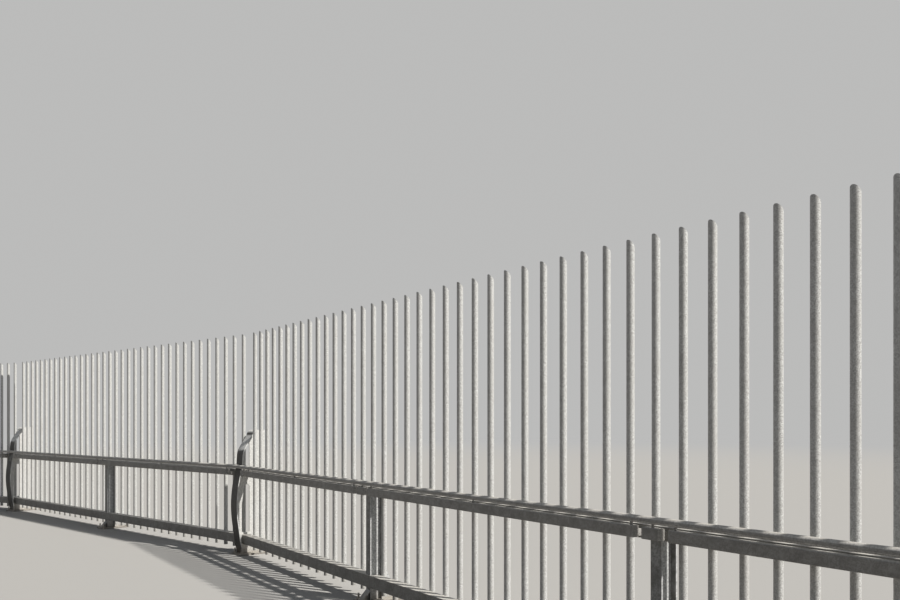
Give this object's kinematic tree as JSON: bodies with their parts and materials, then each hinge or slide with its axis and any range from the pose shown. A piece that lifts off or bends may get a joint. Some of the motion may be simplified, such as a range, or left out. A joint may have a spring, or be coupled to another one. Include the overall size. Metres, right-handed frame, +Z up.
{
  "type": "steel railing fence",
  "caption": "Tall steel railing fence for a walkway edge: round pickets on channel rails, a box rail with a round handrail, H posts and bowed fin posts where the run turns.",
  "frame": {"origin": "under the base plate of the fin post where the second and third straight runs meet, in line with the pickets", "axes": "+X along the fence to the right as seen from the deck, +Y outward from the deck, +Z up"},
  "size_m": [21.0461, 2.8375, 2.668],
  "materials": {
    "picket_steel": "galvanised, dull and mottled",
    "rail_steel": "galvanised, dull grey, dusty",
    "handrail_steel": "galvanised, worn by hands",
    "post_steel": "galvanised, mottled spangle",
    "base_plate_steel": "galvanised, dusty"
  },
  "bodies": {
    "root": {"pickets_bay_1": "picket_steel", "bottom_rail_bay_1": "rail_steel", "top_rail_bay_1": "rail_steel", "box_rail_bay_1": "rail_steel", "pickets_bay_2": "picket_steel", "bottom_rail_bay_2": "rail_steel", "top_rail_bay_2": "rail_steel", "box_rail_bay_2": "rail_steel", "pickets_bay_3": "picket_steel", "bottom_rail_bay_3": "rail_steel", "top_rail_bay_3": "rail_steel", "box_rail_bay_3": "rail_steel", "pickets_bay_4": "picket_steel", "bottom_rail_bay_4": "rail_steel", "top_rail_bay_4": "rail_steel", "box_rail_bay_4": "rail_steel", "pickets_bay_5": "picket_steel", "bottom_rail_bay_5": "rail_steel", "top_rail_bay_5": "rail_steel", "box_rail_bay_5": "rail_steel", "pickets_bay_6": "picket_steel", "bottom_rail_bay_6": "rail_steel", "top_rail_bay_6": "rail_steel", "box_rail_bay_6": "rail_steel", "box_rail_joint_blocks": "rail_steel", "handrail_run_1": "handrail_steel", "handrail_run_2": "handrail_steel", "handrail_run_3": "handrail_steel", "plain_post_1": "post_steel", "base_plate_1": "base_plate_steel", "fin_post_2_plate": "post_steel", "fin_post_2_bowed_flange": "post_steel", "base_plate_2": "base_plate_steel", "plain_post_3": "post_steel", "base_plate_3": "base_plate_steel", "fin_post_4_plate": "post_steel", "fin_post_4_bowed_flange": "post_steel", "base_plate_4": "base_plate_steel", "plain_post_5": "post_steel", "base_plate_5": "base_plate_steel", "plain_post_6": "post_steel", "base_plate_6": "base_plate_steel", "fin_post_7_plate": "post_steel", "fin_post_7_bowed_flange": "post_steel", "base_plate_7": "base_plate_steel"}
  },
  "joints": []
}
